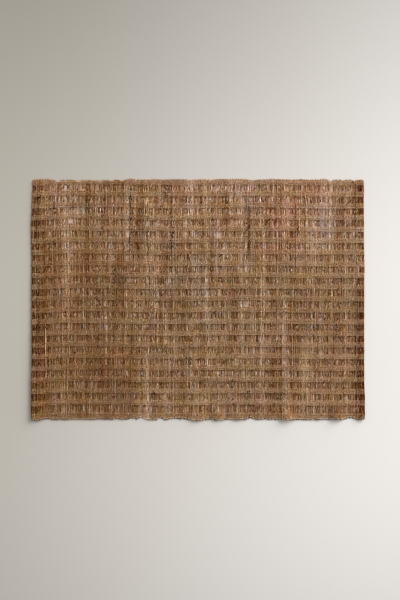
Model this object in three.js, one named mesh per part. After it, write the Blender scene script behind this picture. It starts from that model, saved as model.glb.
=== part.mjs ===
import * as THREE from 'three';
import { mergeVertices } from 'three/addons/utils/BufferGeometryUtils.js';

// A handwoven placemat lying flat on a table, as one solid. All sizes are in millimetres.
// X runs along the woven bands, Y along the bare fibre strips, and Z up out of the face.
// The origin is on the table, under the middle of the mat.

// Driving sizes of the cloth
const MAT_LENGTH = 500; // along the bands, from one hemmed end to the other
const MAT_DEPTH = 360; // across the bands, from selvage to selvage
const BAND_COUNT = 21;
const BAND_PITCH = 17.38;
const BAND_WIDTH = 7.6;
const BACK_BAND_WIDTH = 7.4; // the band along the selvage at +Y
const FRONT_BAND_WIDTH = 10.2; // the band along the selvage at -Y
const STRIP_HEIGHT = 1.4; // top of the bare strips between two bands
const BAND_HEIGHT = 2.3; // top of a woven band
const HEM_WIDTH = 12; // cloth turned under at each end
const HEM_RISE = 0.9; // how much the turned-under layer lifts the face
const HEM_STEP = 1.6; // how far the face slopes down beside the turned-under layer
const BAND_SLOPE = 0.9; // how far each side of a band slants, in plan
const EDGE_INSET = 0.9; // from the outermost line in to the full thickness
const EDGE_LINE = 0.5; // height of the outermost line, as a share of the thickness there

// How closely the surface is divided along X
const FINE_STEP = 5; // along the selvages
const COARSE_STEP = 20; // elsewhere
const WELD = 1e-4; // points nearer than this are one point

// How far the bands wander towards +Y along the mat
const BAND_WANDER = [
  { x: -250, up: -1.3 },
  { x: -233, up: -1.0 },
  { x: -203, up: 1.0 },
  { x: -158, up: 1.05 },
  { x: -113, up: 0.6 },
  { x: -83, up: -0.15 },
  { x: -38, up: -0.7 },
  { x: 7, up: 0 },
  { x: 52, up: 0.35 },
  { x: 97, up: 0.4 },
  { x: 127, up: 0.15 },
  { x: 157, up: -0.75 },
  { x: 217, up: -1.0 },
  { x: 250, up: -0.8 },
];
// Each band also wanders a little on its own.
const OWN_WANDER = { size: 0.35, length: 31, shift: 2.3 };

// Where a selvage stands out (or in, if negative) from its straight line, with half the width of each place
const BACK_EDGE = [
  { x: -232, out: 0.9, half: 16 },
  { x: -211, out: -3.2, half: 7 },
  { x: -181, out: -1.4, half: 9 },
  { x: -148, out: -1.2, half: 6 },
  { x: -131, out: -1.6, half: 6 },
  { x: -114, out: -2.0, half: 6 },
  { x: -101, out: 1.5, half: 9 },
  { x: -66, out: 0.8, half: 9 },
  { x: -11, out: -1.4, half: 6 },
  { x: 20, out: -1.5, half: 6 },
  { x: 60, out: 0.7, half: 26 },
  { x: 83, out: -1.6, half: 10 },
  { x: 112, out: 0.6, half: 9 },
  { x: 201, out: -2.4, half: 6 },
  { x: 220, out: -1.4, half: 5 },
  { x: 236, out: -1.9, half: 5 },
  { x: -157, out: -0.8, half: 55 },
  { x: 25, out: 0.6, half: 110 },
  { x: 122, out: 0.4, half: 30 },
  { x: 155, out: 0.7, half: 9 },
  { x: 190, out: 1.1, half: 8 },
  { x: 242, out: -0.5, half: 9 },
];
const FRONT_EDGE = [
  { x: -242, out: 1.1, half: 12 },
  { x: -226, out: -1.5, half: 9 },
  { x: -213, out: 0.4, half: 13 },
  { x: -197, out: 0.6, half: 9 },
  { x: -185, out: -0.5, half: 9 },
  { x: -148, out: -1.1, half: 7 },
  { x: -136, out: -0.5, half: 9 },
  { x: -122, out: -1.2, half: 9 },
  { x: -99, out: -2.1, half: 10 },
  { x: -85, out: -3.4, half: 8 },
  { x: -66, out: 0.7, half: 12 },
  { x: -56, out: -2.7, half: 7 },
  { x: -34, out: -1.8, half: 13 },
  { x: -18, out: -1.0, half: 9 },
  { x: 0, out: 2.2, half: 17 },
  { x: 34, out: 1.4, half: 12 },
  { x: 58, out: 0.8, half: 12 },
  { x: 79, out: -2.8, half: 8 },
  { x: 101, out: -0.6, half: 12 },
  { x: 131, out: 0.9, half: 12 },
  { x: 163, out: 0.4, half: 20 },
  { x: 175, out: 0.9, half: 9 },
  { x: 203, out: -0.5, half: 12 },
  { x: 228, out: -2.6, half: 13 },
  { x: 244, out: 0.8, half: 8 },
];
// How far each hemmed end stands out from its straight line
const LEFT_END = [
  { y: -180, out: -0.3 },
  { y: -172, out: 0.1 },
  { y: -122, out: 0 },
  { y: -106, out: -0.8 },
  { y: -50, out: -0.8 },
  { y: 10, out: -0.5 },
  { y: 60, out: -0.7 },
  { y: 96, out: 0.1 },
  { y: 114, out: 0.1 },
  { y: 132, out: -0.9 },
  { y: 172, out: -2.3 },
  { y: 180, out: -2.9 },
];
const RIGHT_END = [
  { y: -180, out: 0.5 },
  { y: -172, out: 1.2 },
  { y: -145, out: 1.0 },
  { y: -125, out: 0.1 },
  { y: 60, out: 0 },
  { y: 75, out: -0.3 },
  { y: 173, out: -0.7 },
  { y: 180, out: -1.6 },
];

// Places where the selvage at -Y stands off the table
const LIFTS = [
  { x: -2, height: 2.3, half: 20 },
  { x: 30, height: 2.4, half: 15 },
  { x: 62, height: 1.8, half: 16 },
  { x: 134, height: 6.5, half: 17 },
  { x: 183, height: 1.0, half: 12 },
  { x: 208, height: 5.4, half: 14 },
  { x: 247, height: 2.6, half: 9 },
];
// How far the hemmed end at -X stands off the table
const LEFT_LIFT = [
  { y: -180, height: 3.0 },
  { y: -110, height: 2.6 },
  { y: -40, height: 1.2 },
  { y: 60, height: 0 },
];
const LIFT_REACH = 26; // how far in from the edge a lift dies out

const DARK_TAN = 0x8b6a4c;
const DRY_FIBRE_ROUGHNESS = 0.85;

const backLine = MAT_DEPTH / 2;
const frontLine = -MAT_DEPTH / 2;
const endLine = MAT_LENGTH / 2;

// The value between two rows of a table, along the column named by key
function between(table, key, value, at) {
  if (at <= table[0][key]) return table[0][value];
  for (let i = 1; i < table.length; i += 1) {
    const a = table[i - 1];
    const b = table[i];
    if (at <= b[key]) return THREE.MathUtils.lerp(a[value], b[value], (at - a[key]) / (b[key] - a[key]));
  }
  return table[table.length - 1][value];
}

// A soft bump: 1 in the middle, and 0 from one half width on
function bump(distance, half) {
  const share = Math.min(1, Math.abs(distance) / half);
  return 0.5 + 0.5 * Math.cos(Math.PI * share);
}

const sumOfBumps = (table, value, x) =>
  table.reduce((sum, place) => sum + place[value] * bump(x - place.x, place.half), 0);

function wander(x, band) {
  const own = OWN_WANDER.size * Math.sin(x / OWN_WANDER.length + band * OWN_WANDER.shift);
  return between(BAND_WANDER, 'x', 'up', x) + own;
}

function lift(x, y) {
  const inFromFront = Math.max(0, y - frontLine);
  const inFromLeft = Math.max(0, x + endLine);
  const front = sumOfBumps(LIFTS, 'height', x) * bump(inFromFront, LIFT_REACH);
  const left = between(LEFT_LIFT, 'y', 'height', y) * bump(inFromLeft, LIFT_REACH);
  return front + left;
}

// 1 over the turned-under layer at each end, sloping to 0 beside it
function hemShare(x) {
  const inFromHem = endLine - HEM_WIDTH - Math.abs(x);
  return 1 - THREE.MathUtils.clamp(inFromHem / HEM_STEP, 0, 1);
}

// Columns across the inside of the mat, between the two ends
function columns(step) {
  const hemStart = endLine - HEM_WIDTH;
  const inner = hemStart - HEM_STEP;
  const count = Math.round((2 * inner) / step);
  const found = [-hemStart];
  for (let i = 0; i <= count; i += 1) found.push(-inner + (2 * inner * i) / count);
  found.push(hemStart);
  return found;
}
const fineColumns = columns(FINE_STEP);
const coarseColumns = columns(COARSE_STEP);

// One line of points from the left end to the right end
// lineY gives y at an x, and height gives z above the lift
function lineOfPoints({ lineY, height, fine, inset = 0 }) {
  const middle = lineY(0);
  const left = -endLine - between(LEFT_END, 'y', 'out', middle) + inset;
  const right = endLine + between(RIGHT_END, 'y', 'out', middle) - inset;
  const xs = [left, ...(fine ? fineColumns : coarseColumns), right];
  return xs.map((x) => {
    const y = lineY(x);
    return new THREE.Vector3(x, y, height(x) + lift(x, y));
  });
}

const faceHeight = (base) => (x) => base + HEM_RISE * hemShare(x);

// A row of the face: the surface points, with the outermost line of the mat at both ends
function faceRow({ lineY, base, fine }) {
  const outer = lineOfPoints({ lineY, height: (x) => EDGE_LINE * faceHeight(base)(x), fine });
  const inner = lineOfPoints({ lineY, height: faceHeight(base), fine, inset: EDGE_INSET });
  return [outer[0], ...inner, outer[outer.length - 1]];
}

// The outermost line along a selvage, at part of the thickness
function selvageLine(lineY) {
  const height = (x) => EDGE_LINE * faceHeight(BAND_HEIGHT)(x);
  const outer = lineOfPoints({ lineY, height, fine: true });
  const inner = lineOfPoints({ lineY, height, fine: true, inset: EDGE_INSET });
  return [outer[0], ...inner, outer[outer.length - 1]];
}

const frontEdgeY = (x) => frontLine - sumOfBumps(FRONT_EDGE, 'out', x);
const backEdgeY = (x) => backLine + sumOfBumps(BACK_EDGE, 'out', x);

// The two long edges of a band, counted from the one at +Y
function bandEdges(band) {
  const low = backLine - BACK_BAND_WIDTH - band * BAND_PITCH;
  if (band === 0) return { low, high: backLine };
  if (band === BAND_COUNT - 1) return { low: frontLine, high: frontLine + FRONT_BAND_WIDTH };
  return { low, high: low + BAND_WIDTH };
}

// All rows of the face, from the selvage at -Y to the one at +Y
function faceRows() {
  const rows = [];
  const half = BAND_SLOPE / 2;
  const addRow = (band, y, base) => {
    const fine = y < frontLine + LIFT_REACH;
    rows.push(faceRow({ lineY: (x) => y + wander(x, band), base, fine }));
  };
  rows.push(selvageLine(frontEdgeY));
  rows.push(faceRow({ lineY: (x) => frontEdgeY(x) + EDGE_INSET, base: BAND_HEIGHT, fine: true }));
  for (let band = BAND_COUNT - 1; band >= 0; band -= 1) {
    const { low, high } = bandEdges(band);
    if (band < BAND_COUNT - 1) {
      addRow(band, low - half, STRIP_HEIGHT);
      addRow(band, low + half, BAND_HEIGHT);
    }
    if (band > 0) {
      addRow(band, high - half, BAND_HEIGHT);
      addRow(band, high + half, STRIP_HEIGHT);
    }
  }
  rows.push(faceRow({ lineY: (x) => backEdgeY(x) - EDGE_INSET, base: BAND_HEIGHT, fine: true }));
  rows.push(selvageLine(backEdgeY));
  return rows;
}

// Rows of the underside, which is flat on the table but for the lifts
function undersideRows() {
  const onTable = () => 0;
  const row = (lineY, fine) => lineOfPoints({ lineY, height: onTable, fine, inset: EDGE_INSET });
  return [
    row((x) => frontEdgeY(x) + EDGE_INSET, true),
    row(() => frontLine + LIFT_REACH / 3, true),
    row(() => frontLine + (2 * LIFT_REACH) / 3, true),
    row(() => frontLine + LIFT_REACH, false),
    ...LEFT_LIFT.slice(1).map((place) => row(() => place.y, false)),
    row(() => backLine - LIFT_REACH, false),
    row((x) => backEdgeY(x) - EDGE_INSET, true),
  ];
}

// Triangles between two lines of points that run the same way, which may have different counts
// The side that faces out is the one from which line b lies to the left of line a.
function bridge(triangles, a, b, key) {
  let i = 0;
  let j = 0;
  while (i < a.length - 1 || j < b.length - 1) {
    const stepA = j === b.length - 1 || (i < a.length - 1 && a[i + 1][key] <= b[j + 1][key]);
    if (stepA) {
      triangles.push(a[i], a[i + 1], b[j]);
      i += 1;
    } else {
      triangles.push(a[i], b[j + 1], b[j]);
      j += 1;
    }
  }
}

function matGeometry() {
  const face = faceRows();
  const underside = undersideRows();
  const firsts = (rows) => rows.map((row) => row[0]);
  const lasts = (rows) => rows.map((row) => row[row.length - 1]);
  const triangles = [];
  for (let i = 1; i < face.length; i += 1) bridge(triangles, face[i - 1], face[i], 'x');
  for (let i = 1; i < underside.length; i += 1) bridge(triangles, underside[i], underside[i - 1], 'x');
  bridge(triangles, underside[0], face[0], 'x');
  bridge(triangles, face[face.length - 1], underside[underside.length - 1], 'x');
  bridge(triangles, firsts(face), firsts(underside), 'y');
  bridge(triangles, lasts(underside), lasts(face), 'y');

  const loose = new THREE.BufferGeometry().setFromPoints(triangles);
  const welded = mergeVertices(loose, WELD);
  welded.computeBoundingBox();
  const middle = welded.boundingBox.getCenter(new THREE.Vector3());
  welded.translate(-middle.x, -middle.y, 0);
  welded.computeVertexNormals();
  return welded;
}

const mat = new THREE.Mesh(
  matGeometry(),
  new THREE.MeshStandardMaterial({ color: DARK_TAN, roughness: DRY_FIBRE_ROUGHNESS, metalness: 0 })
);
mat.name = 'mat';

const placemat = new THREE.Group();
placemat.add(mat);

export default placemat;
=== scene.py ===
import math

import bpy
import numpy as np
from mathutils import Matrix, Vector


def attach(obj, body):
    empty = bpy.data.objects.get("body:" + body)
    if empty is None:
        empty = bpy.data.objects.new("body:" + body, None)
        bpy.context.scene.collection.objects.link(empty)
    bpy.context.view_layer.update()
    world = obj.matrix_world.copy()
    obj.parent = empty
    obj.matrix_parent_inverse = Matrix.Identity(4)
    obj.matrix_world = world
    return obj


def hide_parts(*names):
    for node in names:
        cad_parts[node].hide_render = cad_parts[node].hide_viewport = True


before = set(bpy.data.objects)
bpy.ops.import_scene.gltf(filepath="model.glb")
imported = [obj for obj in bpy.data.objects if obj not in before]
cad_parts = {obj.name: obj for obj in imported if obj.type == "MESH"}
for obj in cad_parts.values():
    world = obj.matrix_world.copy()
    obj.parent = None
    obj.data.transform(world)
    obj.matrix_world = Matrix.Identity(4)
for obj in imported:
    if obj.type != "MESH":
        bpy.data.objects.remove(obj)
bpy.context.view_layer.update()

# A handwoven placemat of raw plant fibre. X runs along the woven bands, Y along the bare strips.
# The strips are one long weft that turns back at both selvages, and fine threads bind them in bands.
# The cloth is laid out flat by s, its distance across from the middle, and then turned under at both ends.
MM = 0.001
SEED = 7

# The same driving sizes as the solid
MAT_LENGTH = 500 * MM
MAT_DEPTH = 360 * MM
BAND_COUNT = 21
BAND_PITCH = 17.38 * MM
BAND_WIDTH = 7.6 * MM
BACK_BAND_WIDTH = 7.4 * MM
FRONT_BAND_WIDTH = 10.2 * MM
BAND_HEIGHT = 2.3 * MM
HEM_WIDTH = 12 * MM
HEM_RISE = 0.9 * MM
LIFT_REACH = 26 * MM

BACK_LINE = MAT_DEPTH / 2
FRONT_LINE = -MAT_DEPTH / 2
END_LINE = MAT_LENGTH / 2

# x, how far the bands wander towards +Y there
BAND_WANDER = np.array([
    (-250, -1.3), (-233, -1.0), (-203, 1.0), (-158, 1.05), (-113, 0.6), (-83, -0.15), (-38, -0.7),
    (7, 0), (52, 0.35), (97, 0.4), (127, 0.15), (157, -0.75), (217, -1.0), (250, -0.8),
]) * MM
OWN_WANDER_SIZE = 0.35 * MM
OWN_WANDER_LENGTH = 31 * MM
OWN_WANDER_SHIFT = 2.3

# x, how far the selvage stands out there, half the width of the place
BACK_EDGE = np.array([
    (-232, 0.9, 16), (-211, -3.2, 7), (-181, -1.4, 9), (-148, -1.2, 6), (-131, -1.6, 6),
    (-114, -2.0, 6), (-101, 1.5, 9), (-66, 0.8, 9), (-11, -1.4, 6), (20, -1.5, 6), (60, 0.7, 26),
    (83, -1.6, 10), (112, 0.6, 9), (201, -2.4, 6), (220, -1.4, 5), (236, -1.9, 5),
    (-157, -0.8, 55), (25, 0.6, 110), (122, 0.4, 30), (155, 0.7, 9), (190, 1.1, 8), (242, -0.5, 9),
]) * MM
FRONT_EDGE = np.array([
    (-242, 1.1, 12), (-226, -1.5, 9), (-213, 0.4, 13), (-197, 0.6, 9), (-185, -0.5, 9), (-148, -1.1, 7),
    (-136, -0.5, 9), (-122, -1.2, 9), (-99, -2.1, 10), (-85, -3.4, 8), (-66, 0.7, 12), (-56, -2.7, 7),
    (-34, -1.8, 13), (-18, -1.0, 9), (0, 2.2, 17), (34, 1.4, 12), (58, 0.8, 12), (79, -2.8, 8),
    (101, -0.6, 12), (131, 0.9, 12), (163, 0.4, 20), (175, 0.9, 9), (203, -0.5, 12), (228, -2.6, 13),
    (244, 0.8, 8),
]) * MM
# y, how far the hemmed end stands out there
LEFT_END = np.array([
    (-180, -0.3), (-172, 0.1), (-122, 0.0), (-106, -0.8), (-50, -0.8), (10, -0.5), (60, -0.7), (96, 0.1),
    (114, 0.1), (132, -0.9), (172, -2.3), (180, -2.9),
]) * MM
RIGHT_END = np.array([
    (-180, 0.5), (-172, 1.2), (-145, 1.0), (-125, 0.1), (60, 0), (75, -0.3), (173, -0.7), (180, -1.6),
]) * MM
# x, height, half the width of each place where the selvage at -Y stands off the table
LIFTS = np.array([
    (-2, 2.3, 20), (30, 2.4, 15), (62, 1.8, 16), (134, 6.5, 17), (183, 1.0, 12), (208, 5.4, 14),
    (247, 2.6, 9),
]) * MM

# y, how far the hemmed end at -X stands off the table there
LEFT_LIFT = np.array([(-180, 3.0), (-110, 2.6), (-40, 1.2), (60, 0)]) * MM

# How the cloth is made
MIDDLE_HEIGHT = BAND_HEIGHT / 2
FOLD_RADIUS = 0.75 * MM  # of the middle of the cloth, round each hemmed end
FOLD_START = END_LINE - FOLD_RADIUS - 0.85 * MM
HEM_STEP = 7.0 * MM  # how far the face slopes down beside the turned-under cloth
UNDER_LAYER = HEM_WIDTH - 2.5 * MM  # length of the turned-under cloth, past the fold
UNDER_SQUEEZE = 0.4  # how flat the turned-under cloth is pressed
CLOTH_HALF = FOLD_START + math.pi * FOLD_RADIUS + UNDER_LAYER
LOWEST = 0.03 * MM

STRIP_WIDTH = 2.15 * MM
STRIP_THICK = 0.3 * MM
TURN_REACH = 1.9 * MM  # from a strip's last ring to the selvage
THREAD_PITCH = 1.15 * MM
THREAD_RADIUS = 0.44 * MM
THREAD_SWING = 0.55 * MM

rng = np.random.default_rng(SEED)


# Shape of the cloth
def bump(distance, half):
    """1 in the middle, softly down to 0 from one half width on."""
    return 0.5 + 0.5 * np.cos(np.pi * np.clip(np.abs(distance) / half, 0, 1))


def sum_of_bumps(table, x):
    return sum(size * bump(x - at, half) for at, size, half in table)


def back_edge(x):
    return BACK_LINE + sum_of_bumps(BACK_EDGE, x)


def front_edge(x):
    return FRONT_LINE - sum_of_bumps(FRONT_EDGE, x)


def wander(x, band):
    own = OWN_WANDER_SIZE * np.sin(x / OWN_WANDER_LENGTH + band * OWN_WANDER_SHIFT)
    return np.interp(x, BAND_WANDER[:, 0], BAND_WANDER[:, 1]) + own


def lower_line(x, band):
    """The long edge of a band towards -Y at x. Bands are counted from the one at +Y."""
    return BACK_LINE - BACK_BAND_WIDTH - band * BAND_PITCH + wander(x, band)


def band_lines(x, band):
    """Both long edges of a band at x. The first and the last band reach to the selvages."""
    low = lower_line(x, band)
    if band == BAND_COUNT - 1:
        return front_edge(x), FRONT_LINE + FRONT_BAND_WIDTH + wander(x, band)
    if band == 0:
        return low, back_edge(x)
    return low, low + BAND_WIDTH


def lift(x, y):
    front = sum_of_bumps(LIFTS, x) * bump(np.maximum(0, y - FRONT_LINE), LIFT_REACH)
    left = np.interp(y, LEFT_LIFT[:, 0], LEFT_LIFT[:, 1]) * bump(x + END_LINE, LIFT_REACH)
    return front + left


def fold(s):
    """Where the middle of the cloth lies at s: x, z, the outward normal's x and z, and how thick it is."""
    side = np.sign(s)
    reach = np.abs(s)
    turn = np.clip((reach - FOLD_START) / FOLD_RADIUS, 0, np.pi)
    past = np.maximum(reach - FOLD_START - np.pi * FOLD_RADIUS, 0)
    x = side * (np.minimum(reach, FOLD_START) + FOLD_RADIUS * np.sin(turn) - past)
    hem = 1 - np.clip((END_LINE - HEM_WIDTH - np.abs(x)) / HEM_STEP, 0, 1)
    hem = np.where(past > 0, 1, hem)
    z = MIDDLE_HEIGHT + HEM_RISE * hem - FOLD_RADIUS * (1 - np.cos(turn))
    thick = 1 + (UNDER_SQUEEZE - 1) * turn / np.pi
    return x, z, side * np.sin(turn), np.cos(turn), thick


SHIFT_X = (LEFT_END[:, 1].max() - RIGHT_END[:, 1].max()) / 2
EDGE_SAMPLES = np.linspace(-END_LINE, END_LINE, 2001)
SHIFT_Y = -(back_edge(EDGE_SAMPLES).max() + front_edge(EDGE_SAMPLES).min()) / 2


def placed(s, y, up):
    """Points and normals of the cloth at s and y, up above its middle along the normal."""
    s, y, up = np.broadcast_arrays(s, y, up)
    x, z, normal_x, normal_z, thick = fold(s)
    x = x + normal_x * up * thick
    z = z + normal_z * up * thick
    z = np.maximum(z, LOWEST) + lift(x, y)
    left = np.interp(y, LEFT_END[:, 0], LEFT_END[:, 1])
    right = np.interp(y, RIGHT_END[:, 0], RIGHT_END[:, 1])
    x = x * (1 + np.where(x < 0, left, right) / END_LINE)
    points = np.stack([x + SHIFT_X, y + SHIFT_Y, z], axis=-1)
    normals = np.stack([normal_x, 0 * z, normal_z], axis=-1)
    return points, normals


# Random but smooth unevenness
FIELD_REACH = 0.3  # how far a field goes on every side of the middle, which is past the mat's ends
FIELD_GAIN = 1.35  # makes up for the spread lost between the random values


def smooth(share):
    """From 0 to 1 with level ends."""
    return share * share * (3 - 2 * share)


def soft_field(step_x, step_y):
    """A function of x and y with smooth random values of about unit spread.
    They change over step_x along X and over step_y along Y, in millimetres."""
    step_x, step_y = step_x * MM, step_y * MM
    columns = int(2 * FIELD_REACH / step_x) + 3
    rows = int(2 * FIELD_REACH / step_y) + 3
    grid = rng.standard_normal((rows, columns))

    def values(x, y):
        u = (x + FIELD_REACH) / step_x
        v = (y + FIELD_REACH) / step_y
        i = np.clip(np.floor(u).astype(int), 0, columns - 2)
        j = np.clip(np.floor(v).astype(int), 0, rows - 2)
        f = smooth(np.clip(u - i, 0, 1))
        g = smooth(np.clip(v - j, 0, 1))
        low = grid[j, i] * (1 - f) + grid[j, i + 1] * f
        high = grid[j + 1, i] * (1 - f) + grid[j + 1, i + 1] * f
        return (low * (1 - g) + high * g) * FIELD_GAIN

    return values


def scattered(x, times):
    """Other places for x, further apart, so that neighbours get unlike values from a field."""
    return x * times % FIELD_REACH


# Fields that the strips and the threads share
COLUMN_TONE = soft_field(4.5, 90)
MIDDLE_TONE = soft_field(14, 70)
BROAD_TONE = soft_field(45, 80)
RED_TONE = soft_field(7, 10)
YELLOW_TONE = soft_field(7, 10)
BROAD_RED_TONE = soft_field(22, 22)
BROAD_YELLOW_TONE = soft_field(22, 22)


# Colours, as values from 0 to 255 that are seen in the light of the picture
CELL_GREEN = 111  # the middle one of the three values of the bare strips
BAND_GREEN = 118
THREAD_GREEN = 123
# The fibres under the strips are darker: painted shade beneath the strips
UNDER_GREEN = 80
LOOSE_GREEN = 106
RED_OVER_GREEN = 33
BLUE_UNDER_GREEN = 29
DARKEST_GREEN = 42
SEEN_LIMITS = (10, 250)
DULLER_WHERE_LIGHT = 0.11  # how much less red and more blue for each step of green above CELL_GREEN
GAIN = 1.25  # how much more a strip reflects than what is seen
MOST_REFLECTED = 0.95

# Random changes of hue: how large, how much of it goes by 7 mm and by 22 mm, and the share in red
HUE_SIZE = 3.0
FINE_HUES = 0.75
BROAD_HUES = 0.6
RED_HUES = 0.78
HUE_IN_BANDS = 0.5  # how much of a place's change of hue the bands take

# Slow changes over the whole mat
BACK_REACH = 140 * MM  # how far in from the selvage at +Y the cloth is a little lighter and redder
BACK_REDDER = 3
# Painted shade towards the end at -X, where less light falls
LEFT_PAINTED_SHADE = 7
LEFT_DARK_TO = -125 * MM  # from the end at -X to here it is darker
LEFT_FADE = 60 * MM  # over which it fades out from there
MIDDLE_SPREAD = 3
BROAD_SPREAD = 2
END_YELLOWER = 1.5  # at -X, and as much less yellow at +X
PATCH_FADE_X = 1.4  # where a patch has faded out, in its half sizes from its middle
PATCH_FADE_Y = 1.3

# Places where the fibre differs: x and y in millimetres, half the size across X and along Y,
# and how much lighter, redder and yellower it is there
PATCHES = [
    (178, 98, 15, 75, 17, 0, -2), (195, 115, 16, 38, 4, -5, -8), (137, 130, 38, 62, 0, 7, 0),
    (-235, -25, 10, 60, -14, 0, 0), (-150, -110, 46, 60, -12, 0, 0), (-206, 122, 10, 34, 13, 2, 4),
    (-75, 145, 9, 34, 12, 0, 7), (-96, 82, 12, 22, -12, 0, 0), (-119, 30, 6, 60, -9, 0, -3),
    (10, 4, 7, 48, 14, -2, -3), (0, -20, 40, 120, 0, -4, 0), (60, 155, 8, 34, 12, 0, 0),
    (75, 100, 7, 44, -15, -4, 0), (78, -25, 6, 22, 10, -3, 0), (155, -125, 12, 60, 12, 0, 2),
    (138, 140, 6, 30, -10, 0, 0), (-50, -95, 10, 70, 0, 0, 5), (-38, 85, 6, 30, -9, -2, 0),
    (12, 12, 12, 9, 12, -5, -7), (-180, 150, 26, 24, -18, 0, 0), (-88, 120, 18, 45, -16, 0, 0),
    (182, 70, 20, 90, 8, 0, 0), (110, 25, 40, 40, 7, 0, 0), (-43, -58, 17, 48, 17, 0, 0),
    (2, -112, 16, 34, -15, 0, 0), (2, 49, 16, 20, 15, 0, 0), (150, -158, 80, 26, 9, 0, 0),
    (47, 125, 17, 44, -18, 0, 0), (2, 156, 14, 20, -8, 0, 0), (-177, 20, 18, 50, -8, 0, 0),
    (138, 98, 16, 22, -8, 0, 0), (-42, 49, 16, 20, -8, 0, 0), (-87, 50, 22, 60, -6, 0, 0),
    (200, 158, 34, 24, 13, 0, 0), (212, -8, 26, 30, 5, 0, 0), (228, -158, 14, 22, 9, 0, 0),
    (200, 104, 12, 36, 6, -2, -2), (-222, -58, 18, 26, -6, 0, 0),
]


# x in millimetres, and how much darker than elsewhere the bare strips and the bands are there,
# partly the hem's own darker tone and partly painted shade in the doubled cloth, at the step beside it and at
# the fold
HEM_TONE_AND_SHADE = np.array([
    (-250, 34, -4), (-246, 34, -4), (-243, 40, -1), (-239, 36, 5), (-235, 30, 9), (-231, 32, 10),
    (-226, 18, 8), (-218, 6, 3), (-208, 0, 0), (224, 2, 0), (230, 6, 0), (236, 24, 4), (238, 54, 12),
    (240, 66, 18), (245, 62, 21), (250, 48, 8),
])


def hem_tone_and_shade(x):
    """How much darker the bare strips and the bands are at x, from their tone and from painted shade."""
    at = HEM_TONE_AND_SHADE[:, 0] * MM
    return np.interp(x, at, HEM_TONE_AND_SHADE[:, 1]), np.interp(x, at, HEM_TONE_AND_SHADE[:, 2])


LIVELIER_AT_BACK = 0.12
# x in millimetres, and how much of their unevenness the bare strips and the bands have there
LIVELY = np.array([
    (-250, 0.75, 0.92), (-110, 0.78, 0.92), (-75, 1.03, 1.15), (0, 0.95, 1.1), (90, 0.98, 0.98),
    (150, 0.86, 0.9), (215, 0.9, 0.85), (232, 1.0, 0.85), (238, 1.5, 0.9), (250, 1.5, 0.9),
])


def liveliness(x, y):
    """How much of their unevenness the bare strips and the bands have at x and y."""
    at = LIVELY[:, 0] * MM
    by_depth = 1 + LIVELIER_AT_BACK * y / BACK_LINE
    return np.interp(x, at, LIVELY[:, 1]) * by_depth, np.interp(x, at, LIVELY[:, 2]) * by_depth


MARK_IN_BANDS = 0.5  # how much of a mark the bands show
# Single strips that stand out: x, y from and to in millimetres,
# and how much lighter the nearest strip is there
STRIP_MARKS = [
    (-229.4, -118, -30, -40), (-224.8, -118, -30, -40), (-84, 126, 152, 34), (-77, 124, 150, 40),
    (152.4, 104, 150, 32), (163, 104, 150, 36), (197.4, 106, 150, 34), (-238.4, -180, 180, -34),
    # The marks at -238.4 and 236.4 are painted: shade in the groove by the stitches at -X, and light on a
    # shaded line by the hem at +X.
    (236.4, -180, 180, 18), (-221, 60, 120, 26), (78, 66, 150, -22), (-41, 66, 128, -26),
    (-172, -40, 60, 24), (-60, -90, 10, 22), (55, -150, -60, 26), (118, -60, 30, 24),
    (30, 30, 120, 20),
]


def patch_tones(x, y):
    """How much lighter, redder and yellower the cloth is at x and y, with painted shade towards -X."""
    tones = [0 * x + 0 * y] * 3
    for at_x, at_y, half_x, half_y, *changes in PATCHES:
        share_x = bump(x - at_x * MM, half_x * MM * PATCH_FADE_X)
        share_y = bump(y - at_y * MM, half_y * MM * PATCH_FADE_Y)
        tones = [tone + share_x * share_y * change for tone, change in zip(tones, changes)]
    light, red, yellow = tones
    back = bump(y - BACK_LINE, BACK_REACH)
    # Painted shade towards the end at -X
    left = 1 - np.clip((x - LEFT_DARK_TO) / LEFT_FADE, 0, 1)
    light = light + back - LEFT_PAINTED_SHADE * left
    light = light + MIDDLE_SPREAD * MIDDLE_TONE(x, y) + BROAD_SPREAD * BROAD_TONE(x, y)
    return light, red + BACK_REDDER * back, yellow - END_YELLOWER * x / END_LINE


def hues(x, y):
    """Random changes to redder and to yellower that go over neighbouring strips together."""
    red = FINE_HUES * RED_TONE(x, y) + BROAD_HUES * BROAD_RED_TONE(x, y)
    yellow = FINE_HUES * YELLOW_TONE(x, y) + BROAD_HUES * BROAD_YELLOW_TONE(x, y)
    return RED_HUES * HUE_SIZE * red, HUE_SIZE * yellow


def tints(green, red, yellow):
    """Colours, as reflected light from 0 to 1, for a middle value and its changes of hue."""
    green, red, yellow = np.broadcast_arrays(green, red, yellow)
    duller = DULLER_WHERE_LIGHT * (green - CELL_GREEN)
    seen = np.stack([
        green + RED_OVER_GREEN + red - duller,
        green,
        green - BLUE_UNDER_GREEN - yellow + duller,
    ], axis=-1)
    seen = np.clip(seen, *SEEN_LIMITS) / 255
    linear = np.where(seen <= 0.04045, seen / 12.92, ((seen + 0.055) / 1.055) ** 2.4)
    return np.clip(linear * GAIN, 0, MOST_REFLECTED)


# Meshes
def new_object(name, data):
    made = bpy.data.objects.new(name, data)
    bpy.context.collection.objects.link(made)
    return made


# Sections of the ribbons, in half widths and heights
STRIP_SECTION = [(-1, -0.25), (0, 0.75), (1, -0.25)]
THREAD_SECTION = [(-0.7, -0.7), (-0.7, 0.7), (0.7, 0.7), (0.7, -0.7)]
SHARP_ANGLE = math.radians(62)


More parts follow.
